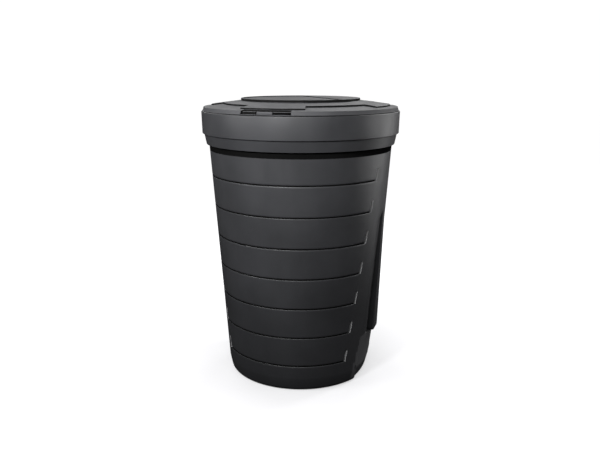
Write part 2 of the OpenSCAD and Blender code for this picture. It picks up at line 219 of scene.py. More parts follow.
# %% [markdown]
# ## The barrel's wall
# The real barrel is one injection moulding. Its wall is a cone, so the surface is a radius worked out
# from two parameters, the angle round the barrel and the height. The side panels are flat faces that
# cut the cone, the ribs stand on them, and the tap seats are flatter curves near the base. Each is a
# radius too, and the wall is the smallest or largest of them. Only the holes are cut with a boolean.

# %% Sizes of the side panels, ribs and tap seats
RIB_LOW, RIB_TOP = 155 * MM, 590 * MM
RIB_W_LOW, RIB_W_TOP = 60 * MM, 35 * MM
RIB_OUT = 10 * MM
PANEL_D, PANEL_TOP_D = 11.6 * MM, 6 * MM
PANEL_LOW, PANEL_TURN = RIB_LOW + 5 * MM, RIB_TOP - 35 * MM
SEAT_TOP, SEAT_LOW, SEAT_R = 190 * MM, 30 * MM, 420 * MM
SEAT_TOP_D, SEAT_LOW_D = 4 * MM, 14 * MM
SEAT_HALF = 24.0


def wall_r(z):
    return BASE_R + TAPER * z


def between(z, z0, x0, z1, x1):
    """Straight line through (z0, x0) and (z1, x1)."""
    return x0 + (x1 - x0) * (z - z0) / (z1 - z0)


def side_angle(angle):
    """Degrees from the nearer of the +X and -X directions, for an angle from the front."""
    return np.abs(np.abs((angle + 180.0) % 360.0 - 180.0) - 90.0)


def rib_half(z):
    """Half of the rib's width at a height."""
    return between(np.clip(z, RIB_LOW, RIB_TOP), RIB_LOW, RIB_W_LOW / 2, RIB_TOP, RIB_W_TOP / 2)


def panel_x(z):
    """Distance of the panel's flat face from the middle plane, with ledges at both of its ends."""
    turn_x = wall_r(PANEL_TURN) - PANEL_TOP_D
    lean = between(z, RIB_LOW, wall_r(RIB_LOW) - PANEL_D, PANEL_TURN, turn_x)
    top = between(z, PANEL_TURN, turn_x, RIB_TOP, wall_r(RIB_TOP) + 1 * MM)
    ledge = (PANEL_LOW - z) * 6.0
    return np.where(z > PANEL_TURN, top, lean) + np.maximum(ledge, 0.0)


def seat_line(z):
    """Distance of the tap seat's face from the middle plane."""
    return between(z, SEAT_LOW, wall_r(SEAT_LOW) - SEAT_LOW_D, SEAT_TOP, wall_r(SEAT_TOP) - SEAT_TOP_D)


def shaped_r(angle, z, radius):
    """Radius of the barrel after its panels, seats and ribs are shaped, from its plain radius."""
    phi = side_angle(angle)
    c, s = np.cos(np.radians(phi)), np.sin(np.radians(phi))
    panel = panel_x(z) / c
    r = np.where((z < RIB_TOP + 5 * MM) & (phi < 60), np.minimum(radius, panel), radius)
    centre = seat_line(z) - SEAT_R
    seat = centre * c + np.sqrt(SEAT_R ** 2 - (centre * s) ** 2)
    seat = seat - np.maximum(wall_r(z) - radius, 0.0)
    seat = seat + np.maximum(z - SEAT_TOP, 0.0)
    inside = 1.0 - step(SEAT_HALF - 0.25, SEAT_HALF + 0.25, phi)
    return r - inside * np.maximum(r - seat, 0.0)


def rib_r(angle, z, radius, inset):
    """Radius with the rib added: its outer face is flat and its outline has round lower corners."""
    phi = side_angle(angle)
    c = np.cos(np.radians(phi))
    face = between(z, RIB_LOW, wall_r(RIB_LOW) + RIB_OUT, RIB_TOP, wall_r(RIB_TOP)) - inset
    across = radius * np.sin(np.radians(phi))
    half = rib_half(z) - inset
    corner = 12 * MM
    dx = np.maximum(across - (half - corner), 0.0)
    dz = np.maximum(RIB_LOW + inset + corner - z, 0.0)
    edge = corner - np.hypot(dx, dz)
    out = step(-0.2 * MM, 2.6 * MM, edge)
    stand, low_round = np.maximum(face / c - radius, 0.0), 8 * MM
    drop = np.maximum(low_round - (z - RIB_LOW - inset), 0.0)
    stand = stand - (low_round - np.sqrt(np.maximum(low_round ** 2 - drop ** 2, 0.0))) * (stand > 0)
    return radius + np.maximum(stand, 0.0) * out * (z < RIB_TOP)


# %% [markdown]
# ## Boards and their end pockets
# Seven shallow lines divide the front and the back into boards, and each board ends in a slim pocket
# that leans with the line the ends lie on. The columns of the net follow that same leaning line, so
# the pockets' sides are crisp with few points.

# %% Sizes of the boards
BOARD_PITCH, FIRST_LINE = 100 * MM, 91 * MM
LINE_W, LINE_D = 4 * MM, 2 * MM
BOARD_HALF, BOARD_SPREAD = 51.9, 3.05
POCKET_W, POCKET_H, POCKET_D = 8 * MM, 38 * MM, 6 * MM
COLLAR_Z = RIM_Z - 107 * MM
LINES = FIRST_LINE + BOARD_PITCH * np.arange(int((COLLAR_Z - FIRST_LINE) / BOARD_PITCH))
EDGE = 0.8 * MM


def board_angle(z):
    """Half of the angle that the boards cover at a height, in degrees."""
    return BOARD_HALF + BOARD_SPREAD * (z - FIRST_LINE) / BOARD_PITCH


def front_angle(angle):
    """Degrees from the nearer of the front and the back."""
    return 90.0 - side_angle(angle)


def pocket_mask(angle, z, grow=0.0, soft=EDGE):
    """1 inside a board-end pocket and 0 outside."""
    off = np.radians(front_angle(angle) - board_angle(z)) * wall_r(z)
    across = band(-POCKET_W / 2 - grow, POCKET_W / 2 + grow, soft, off)
    rows = sum(band(line - LINE_W / 2 - grow, line + POCKET_H + grow, soft, z) for line in LINES)
    return across * rows


def line_mask(angle, z):
    """1 on a board line and 0 elsewhere."""
    end = np.degrees(POCKET_W / 2 / wall_r(z))
    along = 1.0 - step(board_angle(z), board_angle(z) + end, front_angle(angle))
    return along * sum(band(line - LINE_W / 2, line + LINE_W / 2, 1.4 * MM, z) for line in LINES)


print(f"{len(LINES)} board lines, from {LINES[0]:.3f} m to {LINES[-1]:.3f} m")


# %% Columns of the barrel's net
def column_angles(z):
    """Angles of the net's columns at a height, in degrees from the front, for a quarter of the way
    round. Columns lie on the pocket's sides, on the panel's edge and on the rib's sides."""
    deg = lambda length: math.degrees(length / wall_r(z))
    a, half, e = board_angle(z), deg(POCKET_W / 2), deg(EDGE)
    level = min(max(z, PANEL_LOW), RIB_TOP - 12 * MM)
    flat = math.degrees(math.acos(min(1.0, panel_x(level) / wall_r(level))))
    panel = 90.0 - max(flat, 9.0)
    low = min(max((z - 150 * MM) / (50 * MM), 0.0), 1.0)
    edge = (90.0 - SEAT_HALF) * (1 - low) + panel * low
    rib = math.degrees(math.asin(rib_half(z) / wall_r(z)))
    keys = [(0.0, 22), (a - half - 2 * e, 1), (a - half - e / 2, 1), (a - half + e / 2, 3),
            (a + half - e / 2, 1), (a + half + e / 2, 1), (a + half + 2 * e, 6), (edge - 0.5, 1),
            (edge, 1), (edge + 0.5, 9), (90 - rib - deg(1.5 * MM), 1), (90 - rib - deg(0.2 * MM), 1),
            (90 - rib + deg(1.2 * MM), 1), (90 - rib + deg(2.6 * MM), 1), (90 - rib + deg(4 * MM), 5),
            (90.0, 0)]
    runs = [np.linspace(k0, k1, n + 1)[:-1] for (k0, n), (k1, _) in zip(keys[:-1], keys[1:])]
    return np.concatenate(runs)


def round_angles(z):
    """The quarter's columns mirrored to the whole way round, in degrees from the front."""
    q = column_angles(z)
    half = np.concatenate([q, [90.0], 180.0 - q[:0:-1]])
    return np.concatenate([half, [180.0], 360.0 - half[:0:-1]])


print(f"{len(round_angles(0.5))} columns in each row")

# %% Rows of the barrel's net
ARCH_R, ARCH_H = 205 * MM, 8 * MM
BAND_Z = COLLAR_Z + 34 * MM
LOW_BAND_OUT, LOW_BAND_IN = COLLAR_R - 8 * MM, COLLAR_R - 15 * MM
HIGH_BAND_LOW = COLLAR_R - 2 * MM
MOUTH_R, LEDGE_T = COLLAR_R - WALL - 6 * MM, 6 * MM

under = add_rows(fillet([(2 * MM, ARCH_H), (ARCH_R, ARCH_H), (ARCH_R, 0), (BASE_R - 6 * MM, 0),
                         (wall_r(45 * MM), 45 * MM)],
                        [1.5 * MM, 1.5 * MM, 17 * MM], turns=9), 40 * MM)
STRIP = 20 * MM
collar = fillet([(wall_r(COLLAR_Z - drop), COLLAR_Z - drop) for drop in (30 * MM, STRIP, 3 * MM)]
                + [(LOW_BAND_IN, COLLAR_Z), (LOW_BAND_OUT, BAND_Z), (HIGH_BAND_LOW, BAND_Z + 2 * MM),
                 (COLLAR_R, RIM_Z), (MOUTH_R, RIM_Z), (MOUTH_R, RIM_Z - LEDGE_T),
                 (COLLAR_R - WALL, RIM_Z - 2 * LEDGE_T), (HIGH_BAND_LOW - WALL, BAND_Z + 2 * MM + WALL),
                 (LOW_BAND_OUT - WALL, BAND_Z + WALL), (LOW_BAND_IN - WALL, COLLAR_Z + WALL),
                 (wall_r(COLLAR_Z) - WALL, COLLAR_Z - 3 * MM),
                 (wall_r(COLLAR_Z - 25 * MM) - WALL, COLLAR_Z - 25 * MM)],
                [0, 1.5 * MM, 2.5 * MM, 1.2 * MM, 1.2 * MM, 2.2 * MM, 2 * MM, 1.5 * MM, 2 * MM,
                 1.5 * MM, 1.5 * MM, 4 * MM, 3 * MM], turns=5)
floor_in = add_rows(fillet([(wall_r(45 * MM) - WALL, 45 * MM), (BASE_R - 8 * MM, WALL),
                            (ARCH_R + WALL, WALL), (ARCH_R - WALL, ARCH_H + WALL),
                            (2 * MM, ARCH_H + WALL)],
                           [15 * MM, 2 * MM, 2 * MM], turns=6), 40 * MM)

line_edges = np.array([-7, -3, -2.2, -1.2, 1.2, 2.2, 3, 7, 36, 37.4, 38.2, 38.6, 40]) * MM
line_rows = (LINES[:, None] + line_edges).ravel()
rib_rows = np.array([149, 152, 154.5, 155.3, 156, 157, 158.5, 160, 162, 165, 168, 172, 186, 190,
                     194, 552, 556, 586, 590, 594]) * MM
wall_rows = spaced(np.concatenate([[47 * MM, COLLAR_Z - 33 * MM], line_rows, rib_rows]), 14 * MM)
inner_edges = (LINES[:, None] + np.array([-6.5, -4.5, 40.5, 42.5]) * MM).ravel()
inner_rows = spaced(np.concatenate([[47 * MM, COLLAR_Z - 33 * MM], inner_edges, rib_rows[::3]]), 28 * MM)
print(f"{len(wall_rows)} outside rows and {len(inner_rows)} inside rows on the wall")


# %% The barrel's surface
def barrel_ring(radius, z, inside=False):
    """One row of points: the plain radius, shaped and with its relief, at a height."""
    a = round_angles(z)
    r = shaped_r(a, z + 0 * a, radius + 0 * a)
    r = rib_r(a, z + 0 * a, r, WALL if inside else 0.0)
    if inside:
        r = r - pocket_mask(a, z, 3 * MM, 1.6 * MM) * (POCKET_D + 3 * MM - WALL)
    else:
        r = r - np.maximum(line_mask(a, z) * LINE_D, pocket_mask(a, z) * POCKET_D)
    return around_z(r, a, z)


def lower_ring(radius, z, inside):
    """A row below the wall: the seats fade towards the middle of the base."""
    a = round_angles(z)
    depth = radius + 0 * a - shaped_r(a, z + 0 * a, radius + 0 * a)
    return around_z(radius - depth * step(ARCH_R + 4 * MM, BASE_R - 12 * MM, radius), a, z)


rings = [lower_ring(r, z, False) for r, z in under]
rings += [barrel_ring(wall_r(z), z) for z in wall_rows]
rings += [around_z(r, round_angles(COLLAR_Z), z) for r, z in collar]
rings += [barrel_ring(wall_r(z) - WALL, z, inside=True) for z in inner_rows[::-1]]
rings += [lower_ring(r, z, True) for r, z in floor_in]
barrel = make_part("barrel", [capped_net(np.array(rings))], "barrel", "barrel_shell", 40)

# %% [markdown]
# ## Seats for the outlet and the inlet
# The outlet goes through a flat round boss in the -X tap seat, and the hose inlet through one high at
# the back. Each boss is a profile turned round its own axis and set into the wall, so it is a separate
# closed ring that overlaps the moulding.

# %% Turned rings on any axis
def lathe(profile, axis, origin, sides=64, hexagon=False):
    """Points and faces of a closed profile of (radius, depth) turned round an axis through origin.
    Depth is measured along the axis; a hexagon scales each radius by the distance to a flat side."""
    profile = np.asarray(profile, float)
    axis = np.asarray(axis, float)
    across = np.cross(axis, (0.0, 0.0, 1.0))
    up = np.cross(across, axis)
    t = np.linspace(0, 2 * math.pi, sides, endpoint=False)
    shape = np.ones(sides)
    if hexagon:
        within = (t + math.pi / 6) % (math.pi / 3) - math.pi / 6
        shape = math.cos(math.pi / 6) / np.cos(within)
    r = profile[:, 0][:, None] * shape
    ring = (r * np.cos(t))[..., None] * across + (r * np.sin(t))[..., None] * up
    net = np.asarray(origin) + ring + profile[:, 1][:, None, None] * axis
    return net.reshape(-1, 3), net_faces(net.shape[0], sides, closed_rows=True)


def washer_line(r_in, r_out, low, high, soft):
    """Closed profile of a ring with a rectangular section and rounded corners."""
    middle = (r_in + r_out) / 2
    corners = [(middle, low), (r_out, low), (r_out, high), (r_in, high), (r_in, low), (middle, low)]
    return fillet(corners, [soft] * 4, turns=4)[:-1]


OUT_LOW, OUT_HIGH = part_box("outlet_fitting")
IN_LOW, IN_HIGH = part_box("inlet_grommet")
OUT_Z, IN_Z = (OUT_LOW.z + OUT_HIGH.z) / 2, (IN_LOW.z + IN_HIGH.z) / 2
GASKET_T, FLANGE_T, PAD_T = 2 * MM, 5 * MM, 8 * MM
OUT_FACE = OUT_LOW.x + GASKET_T + FLANGE_T
IN_FACE = IN_HIGH.y - 3 * MM
OUT, OUT_AXIS = (OUT_FACE, 0.0, OUT_Z), (-1, 0, 0)
IN, IN_AXIS = (0.0, IN_FACE, IN_Z), (0, 1, 0)
OUT_HOLE_R, OUT_BOSS_R, OUT_CLEAR_R = 17 * MM, 32 * MM, 30 * MM
IN_HOLE_R, IN_BOSS_R = 16 * MM, 26 * MM
outlet_ring = lathe(washer_line(OUT_HOLE_R, OUT_BOSS_R, -PAD_T, 0, 1 * MM), OUT_AXIS, OUT)
inlet_ring = lathe(washer_line(IN_HOLE_R, IN_BOSS_R, -PAD_T, 0, 1.2 * MM), IN_AXIS, IN)
outlet_boss = make_part("outlet_boss", [outlet_ring], "barrel")
inlet_boss = make_part("inlet_boss", [inlet_ring], "barrel")

# %% [markdown]
# ## Opening the wall behind the seats
# The holes are cut with a boolean against a round plug, which is applied at once and then removed.

# %% Holes
def cut_out(piece, points, faces):
    """Cut a closed solid out of a piece and apply the cut."""
    cutter = make_piece("cutter", *joined([(points, faces)]), sharp=38)
    cut = piece.modifiers.new("cut", "BOOLEAN")
    cut.operation, cut.object, cut.solver = "DIFFERENCE", cutter, "EXACT"
    bpy.context.view_layer.objects.active = piece
    bpy.ops.object.modifier_apply(modifier=cut.name)
    bpy.data.objects.remove(cutter)


def cut_round(piece, radius, axis, origin, length):
    """Cut a round hole of a radius and length, centred on origin."""
    middle, end = 0.02 * MM, length / 2
    line = np.array([(middle, -end), (radius, -end), (radius, end), (middle, end)])
    cut_out(piece, *lathe(line, axis, origin, sides=48))


cut_round(barrel, OUT_CLEAR_R, OUT_AXIS, (OUT_FACE - 20 * MM, 0, OUT_Z), 40 * MM)
cut_round(barrel, OUT_HOLE_R, OUT_AXIS, OUT, 60 * MM)
cut_round(barrel, IN_HOLE_R, IN_AXIS, IN, 60 * MM)
report(barrel)

# %% [markdown]
# ## The lid's frame
# The lid ring is a thin skin whose cross-section is turned round the axis. At the front the section
# changes: the skirt steps in to make a notch. Both sections have the same number of points, so one
# can be blended into the other by angle.

# %% Sizes of the lid
LID_SLOPE = math.tan(math.radians(6.4))
SKIN, SKIRT_H, RING_W = 3.5 * MM, 14 * MM, 76 * MM
FLANGE_R, SKIRT_TOP_R = COLLAR_R - 4 * MM, COLLAR_R - 8.2 * MM
RING_Z = RIM_Z + SKIRT_H
HATCH_R = COLLAR_R - RING_W
OPENING_R = HATCH_R - 8 * MM
SPIGOT_R = MOUTH_R - 2 * MM
NOTCH_Y = SKIRT_TOP_R - 20 * MM
NOTCH_LOW = RIM_Z + SKIN
NOTCH_FROM, NOTCH_TO = -15.8, 12.6
BLOCK_TOP = RING_Z - 2.5 * MM


def ring_top(r):
    """Height of the ring's sloping top at a radius."""
    return RING_Z + (SKIRT_TOP_R - r) * LID_SLOPE


# %% Lid ring
LIP_Z = ring_top(OPENING_R) - 11 * MM
plain = [(SPIGOT_R, RIM_Z - 12 * MM), (SPIGOT_R, RIM_Z), (FLANGE_R, RIM_Z),
         (FLANGE_R, NOTCH_LOW - 1.5 * MM), (FLANGE_R - 0.8 * MM, NOTCH_LOW - 0.8 * MM),
         (SKIRT_TOP_R, RING_Z), (NOTCH_Y - 2 * MM, ring_top(NOTCH_Y - 2 * MM)),
         (OPENING_R, ring_top(OPENING_R)), (OPENING_R, LIP_Z), (OPENING_R + SKIN, LIP_Z),
         (OPENING_R + SKIN, ring_top(OPENING_R + SKIN) - SKIN),
         (NOTCH_Y - 5.5 * MM, ring_top(NOTCH_Y - 5.5 * MM) - SKIN),
         (SKIRT_TOP_R - SKIN, RING_Z - SKIN), (SKIRT_TOP_R - SKIN, NOTCH_LOW),
         (SPIGOT_R - SKIN, NOTCH_LOW), (SPIGOT_R - SKIN, RIM_Z - 30 * MM),
         (SPIGOT_R, RIM_Z - 30 * MM), (SPIGOT_R, RIM_Z - 20 * MM)]
cut = list(plain)
cut[4] = (FLANGE_R - 0.8 * MM, NOTCH_LOW)
cut[5] = (NOTCH_Y, NOTCH_LOW)
cut[6] = (NOTCH_Y, ring_top(NOTCH_Y))
cut[11] = (NOTCH_Y - 3 * MM, ring_top(NOTCH_Y - 3 * MM) - SKIN)
cut[12] = (NOTCH_Y - 3 * MM, RIM_Z)
cut[13] = (SPIGOT_R - SKIN - 1 * MM, RIM_Z)
cut[14] = (SPIGOT_R - SKIN, RIM_Z)
soften = np.array([0, 0, 0.8, 0.5, 1.0, 1.1, 0.8, 1.0, 0, 0, 0, 0, 0, 0, 0, 0]) * MM


def section_pair(a_line, b_line, softs):
    """Both outlines filleted corner by corner, each corner with the same count of points."""
    out = []
    for line in (a_line, b_line):
        line = np.asarray(line, float)
        pieces = [line[:1]]
        for i, radius in enumerate(softs, start=1):
            before, corner, after = line[i - 1], line[i], line[i + 1]
            if radius <= 0:
                pieces.append(corner[None])
                continue
            arc_points = fillet([before, corner, after], [radius], turns=4)[1:-1]
            if len(arc_points) != 5:
                arc_points = np.repeat(corner[None], 5, axis=0)
            pieces.append(arc_points)
        pieces.append(line[-1:])
        out.append(np.concatenate(pieces))
    return out


plain_line, cut_line = section_pair(plain, cut, soften)
NOTCH_EDGE = math.degrees(0.5 * MM / SKIRT_TOP_R)
notch_edges = [end + k * NOTCH_EDGE for end in (NOTCH_FROM, NOTCH_TO) for k in (-3, -1, 1, 3)]
ring_angles = spaced(np.array([-180, *notch_edges, 180]), 2.0)[:-1]
in_notch = band(NOTCH_FROM, NOTCH_TO, 2 * NOTCH_EDGE, ring_angles)[None, :, None]
ring_net = turned(plain_line, ring_angles) * (1 - in_notch) + turned(cut_line, ring_angles) * in_notch


def sector_block(a0, a1, r0, r1, z0, z1, soft=0.7 * MM, n=10):
    """Points and faces of a curved block between two angles, radii and heights, edges rounded off.
    Its cross-section is a rounded rectangle and its two ends shrink by the same rounding."""
    corners = [((r0 + r1) / 2, z0), (r1, z0), (r1, z1), (r0, z1), (r0, z0), ((r0 + r1) / 2, z0)]
    line = fillet(corners, [soft] * 4, turns=3)[:-1]
    middle = np.array([(r0 + r1) / 2, (z0 + z1) / 2])
    span = math.degrees(soft / r1)
    angles = np.concatenate([[a0, a0 + 0.3 * span, a0 + span], np.linspace(a0 + span, a1 - span, n)[1:-1],
                             [a1 - span, a1 - 0.3 * span, a1]])
    inset = np.array([soft, 0.3 * soft, 0] + [0] * (n - 2) + [0, 0.3 * soft, soft])
    reach = np.linalg.norm(line - middle, axis=1)
    rows = []
    for angle, shrink in zip(angles, inset):
        r, z = (middle + (line - middle) * (1 - shrink / reach)[:, None]).T
        rows.append(around_z(r, angle, z))
    return capped_net(np.array(rows))


ring_shell = (ring_net.reshape(-1, 3), net_faces(*ring_net.shape[:2], closed_rows=True))
block_a = sector_block(-15.1, -7.1, NOTCH_Y - 0.5 * MM, SKIRT_TOP_R - 0.5 * MM,
                       NOTCH_LOW - 0.5 * MM, BLOCK_TOP)
block_c = sector_block(2.85, NOTCH_TO + 0.1, NOTCH_Y - 0.5 * MM, SKIRT_TOP_R - 0.6 * MM,
                       NOTCH_LOW + 5 * MM, BLOCK_TOP - 0.6 * MM, soft=0.5 * MM)
lid_ring = make_part("lid_frame", [ring_shell, block_a, block_c], "lid", "lid_ring")

# %% [markdown]
# ## Hinge lugs
# Two pairs of lugs stand on the ring at the back and hold the steel pins. A lug is an upright plate
# with a round top, so its outline is an arc carried straight down, and the plate is that outline
# between two sides.

# %% Hinge places and plates
HINGE = next(j for j in frame["joints"] if j["name"] == "hatch_hinge")
HINGE_Y, HINGE_Z = HINGE["pos_m"][1], HINGE["pos_m"][2]
HINGE_X, KNUCKLE_R, KNUCKLE_W, LUG_T, GAP = 60 * MM, 6 * MM, 20 * MM, 7 * MM, 0.3 * MM


def plate(x0, x1, outline, soft=0.6 * MM):
    """A closed plate between x0 and x1 with the (y, z) outline, its two faces shrunk by a small
    rounding towards the outline's middle."""
    outline = np.asarray(outline, float)
    middle = outline.mean(axis=0)
    reach = np.linalg.norm(outline - middle, axis=1)[:, None]
    rows = []
    for x, shrink in ((x0, soft), (x0 + 0.3 * soft, 0.3 * soft), (x0 + soft, 0),
                      (x1 - soft, 0), (x1 - 0.3 * soft, 0.3 * soft), (x1, soft)):
        ring = middle + (outline - middle) * (1 - shrink / reach)
        rows.append(np.column_stack([np.full(len(ring), x), ring]))
    return capped_net(np.array(rows))


def round_top(y, z, radius, floor, n=16):
    """Outline of an upright lug: an arc over the top and straight sides down to the floor."""
    t = np.radians(np.linspace(0, 180, n))
    arc = np.column_stack([y + radius * np.cos(t), z + radius * np.sin(t)])
    return np.concatenate([[[y + radius, floor]], arc, [[y - radius, floor]]])


lugs = []
for x in (-HINGE_X, HINGE_X):
    for side in (-1, 1):
        middle = x + side * (KNUCKLE_W / 2 + GAP + LUG_T / 2)
        lugs.append(plate(middle - LUG_T / 2, middle + LUG_T / 2,
                          round_top(HINGE_Y, HINGE_Z, KNUCKLE_R, ring_top(HINGE_Y) - SKIN)))
hinge_lugs = make_part("hinge_lugs", lugs, "lid")

# %% [markdown]
# ## The hatch
# The hatch is a shallow disc with two terraces and raised tongues that reach out over the ring. Its
# section is again turned round the axis, and where a tongue runs the section is blended into a second
# one that slopes straight down from the foot of the upper disc to the tongue's tip. Two prisms are cut
# out of it: a shallow recess with one straight side in the top, and the slot that takes the bolt.

# %% Sizes of the hatch
STEP_1, STEP_2, TERRACE_W, DISH = 5 * MM, 8 * MM, 56 * MM, 1.5 * MM
TONGUE_HALF = 20.5
TERRACE_R = HATCH_R - TERRACE_W
LOW_TOP_Z = ring_top(HATCH_R) + STEP_1
TONGUE_R = NOTCH_Y - 5 * MM
RIM_OUT_R, RIM_IN_R = OPENING_R - 4 * MM, OPENING_R - 4 * MM - SKIN
RIM_LOW_Z = NOTCH_LOW - 4.5 * MM


def terrace_top(r):
    """Height of the lower terrace's sloping top at a radius."""
    return LOW_TOP_Z + (HATCH_R - r) * LID_SLOPE


HIGH_Z = terrace_top(TERRACE_R) + STEP_2
TONGUE_START_Z = HIGH_Z - STEP_2 + 0.6 * MM
TIP_Z = ring_top(TONGUE_R) + GAP + 3.8 * MM


def hatch_section(reach, tongue):
    """Outline of the hatch from the middle of its top, over the edge and back below.
    A tongue's top is the straight line from the upper disc's foot to its tip."""
    if tongue:
        def top(r):
            return between(r, TERRACE_R, TONGUE_START_Z, TONGUE_R, TIP_Z)
    else:
        top = terrace_top
    return [(3 * MM, HIGH_Z - DISH), (TERRACE_R * 0.5, HIGH_Z - DISH * 0.5), (TERRACE_R, HIGH_Z),
            (TERRACE_R + 0.4 * MM, top(TERRACE_R + 0.4 * MM)), (reach, top(reach)),
            (reach, ring_top(reach) + GAP), (RIM_OUT_R, ring_top(RIM_OUT_R) + GAP),
            (RIM_OUT_R, RIM_LOW_Z), (RIM_IN_R, RIM_LOW_Z), (RIM_IN_R, terrace_top(RIM_IN_R) - SKIN),
            (TERRACE_R - SKIN, terrace_top(TERRACE_R) - SKIN),
            (TERRACE_R - SKIN, HIGH_Z - SKIN - 2 * MM), (3 * MM, HIGH_Z - DISH - SKIN - 1 * MM)]


hatch_soft = np.array([0, 1.4, 1.2, 1.0, 0.4, 0.8, 0.5, 0.5, 1.0, 1.0, 1.0]) * MM
disc = hatch_section(HATCH_R, False)
flat_line, tongue_line = section_pair(disc, hatch_section(TONGUE_R, True), hatch_soft)
_, short_line = section_pair(disc, hatch_section(HATCH_R, True), hatch_soft)
TONGUE_EDGE = 0.35
edges = np.concatenate([centre + side * TONGUE_HALF + np.array([-3, -1, 1, 3]) * TONGUE_EDGE
                        for centre in (0.0, 90.0, 180.0, 270.0) for side in (-1, 1)])
hatch_angles = spaced(np.concatenate([edges, [edges.min() + 360.0]]), 2.0)[:-1]


def tongue_mask(centre):
    """1 inside the tongue whose middle is at this angle, 0 outside."""
    off = (hatch_angles - centre + 180.0) % 360.0 - 180.0
    return band(-TONGUE_HALF, TONGUE_HALF, 2 * TONGUE_EDGE, off)[None, :, None]


long_mask = tongue_mask(0.0) + tongue_mask(90.0) + tongue_mask(270.0)
back_mask = tongue_mask(180.0)
hatch_net = (turned(flat_line, hatch_angles) * (1 - long_mask - back_mask)
             + turned(tongue_line, hatch_angles) * long_mask + turned(short_line, hatch_angles) * back_mask)
print(f"hatch net {hatch_net.shape[0]} x {hatch_net.shape[1]}, top at {hatch_net[..., 2].max():.4f} m")

# %% Hatch with its hinge arms
arms = []
for x in (-HINGE_X, HINGE_X):
    under_t, over_t = np.radians(np.linspace(215, 360, 12)), np.radians(np.linspace(0, 145, 12))[1:]
    turns = np.concatenate([under_t, over_t])
    knuckle = np.column_stack([HINGE_Y + KNUCKLE_R * np.cos(turns), HINGE_Z + KNUCKLE_R * np.sin(turns)])
    root = [(OPENING_R - 1 * MM, HINGE_Z + 3.5 * MM), (OPENING_R - 1 * MM, HINGE_Z - 3.5 * MM)]
    arms.append(plate(x - KNUCKLE_W / 2, x + KNUCKLE_W / 2, np.concatenate([knuckle, root])))
hatch = make_part("hatch_disc", [capped_net(hatch_net[::-1]), *arms], "hatch_lid", "hatch")

# %% The recess in the top and the slot for the bolt
RECESS_D, RECESS_EDGE, CHORD_MIDDLE, CHORD_HALF = 2.6 * MM, 7 * MM, 128, 67
BOLT_LOW, BOLT_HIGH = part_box("latch_bolt")
LATCH_X, SLOT_HALF = (BOLT_LOW.x + BOLT_HIGH.x) / 2, 7.8 * MM


def cut_prism(piece, outline, low, high):
    """Cut an upright prism with a plan outline, between two heights, out of a piece."""
    outline = np.asarray(outline, float)
    levels = [np.column_stack([outline, np.full(len(outline), level)]) for level in (low, high)]
    cut_out(piece, *capped_net(np.array(levels)))


turn = np.radians(np.linspace(CHORD_MIDDLE + CHORD_HALF, CHORD_MIDDLE + 360 - CHORD_HALF, 90))
around = np.column_stack([np.sin(turn), -np.cos(turn)])
cut_prism(hatch, around * (TERRACE_R - RECESS_EDGE), HIGH_Z - RECESS_D, HIGH_Z + 9 * MM)
slot_out, slot_in = -RIM_OUT_R - 0.5 * MM, -RIM_IN_R + 5 * MM
cut_prism(hatch, [(LATCH_X - SLOT_HALF, slot_out), (LATCH_X + SLOT_HALF, slot_out),
                  (LATCH_X + SLOT_HALF, slot_in), (LATCH_X - SLOT_HALF, slot_in)],
          NOTCH_LOW + 0.3 * MM, NOTCH_LOW + 6.9 * MM)
hatch.data.set_sharp_from_angle(angle=math.radians(30))
report(hatch)

# %% [markdown]
# ## The bolt
# The tab in the middle of the notch is the end of a flat bar that slides in under the ring.

# %% Bolt
BAR_W, BAR_LOW, BAR_T = 14 * MM, NOTCH_LOW + 1.1 * MM, 5 * MM
tab_from, tab_to = (math.degrees(math.asin(x / SKIRT_TOP_R))
                    for x in (BOLT_LOW.x + 0.5 * MM, BOLT_HIGH.x - 0.5 * MM))
tab = sector_block(tab_from, tab_to, SKIRT_TOP_R - 9.6 * MM, SKIRT_TOP_R - 0.6 * MM, BOLT_LOW.z, BLOCK_TOP)
bar_top, bar_y0, bar_y1 = BAR_LOW + BAR_T, -SKIRT_TOP_R + 6 * MM, BOLT_HIGH.y
bar_outline = fillet([(bar_y0, BAR_LOW), (bar_y1, BAR_LOW), (bar_y1, bar_top), (bar_y0, bar_top),
                      (bar_y0, BAR_LOW)], [1 * MM, 1 * MM, 0], turns=3)[:-1]
bar = plate(LATCH_X - BAR_W / 2, LATCH_X + BAR_W / 2, bar_outline)
bolt = make_part("bolt", [tab, bar], "bolt", "latch_bolt")

# %% [markdown]
# ## Outlet, drain plug and inlet
# These small turned parts get rounded edges, a hexagon back nut, a knurled plug head and a wing to
# turn it by. Every one is a closed profile turned round the outlet's or the inlet's axis.

# %% Turned fittings
SLEEVE_R, BORE_R, SLEEVE_IN, NUT_T = 16.6 * MM, 12 * MM, 30 * MM, 9 * MM
CREST_R, ROOT_R, TOUCH = SLEEVE_R - 0.05 * MM, SLEEVE_R - 0.9 * MM, 0.02 * MM
FLANGE_FACE, SLEEVE_END = GASKET_T + FLANGE_T, -PAD_T - SLEEVE_IN
WASHER_LOW = -PAD_T - GASKET_T
NUT_LOW = WASHER_LOW - NUT_T
thread = []
for depth in np.arange(SLEEVE_END + 1.0 * MM, NUT_LOW - 2 * MM, 1.8 * MM):
    thread += [(ROOT_R, depth), (CREST_R, depth + 0.6 * MM), (CREST_R, depth + 1.0 * MM),
               (ROOT_R, depth + 1.5 * MM)]
flange_line = fillet([(SLEEVE_R, 0), (SLEEVE_R, GASKET_T), (28 * MM, GASKET_T), (28 * MM, FLANGE_FACE),
                      (BORE_R, FLANGE_FACE), (BORE_R, SLEEVE_END), (ROOT_R, SLEEVE_END)],
                     [0.2 * MM, 0.5 * MM, 1.4 * MM, 0.8 * MM, 0.5 * MM], turns=4)
outlet_line = np.concatenate([flange_line, thread, [(CREST_R, NUT_LOW)]])
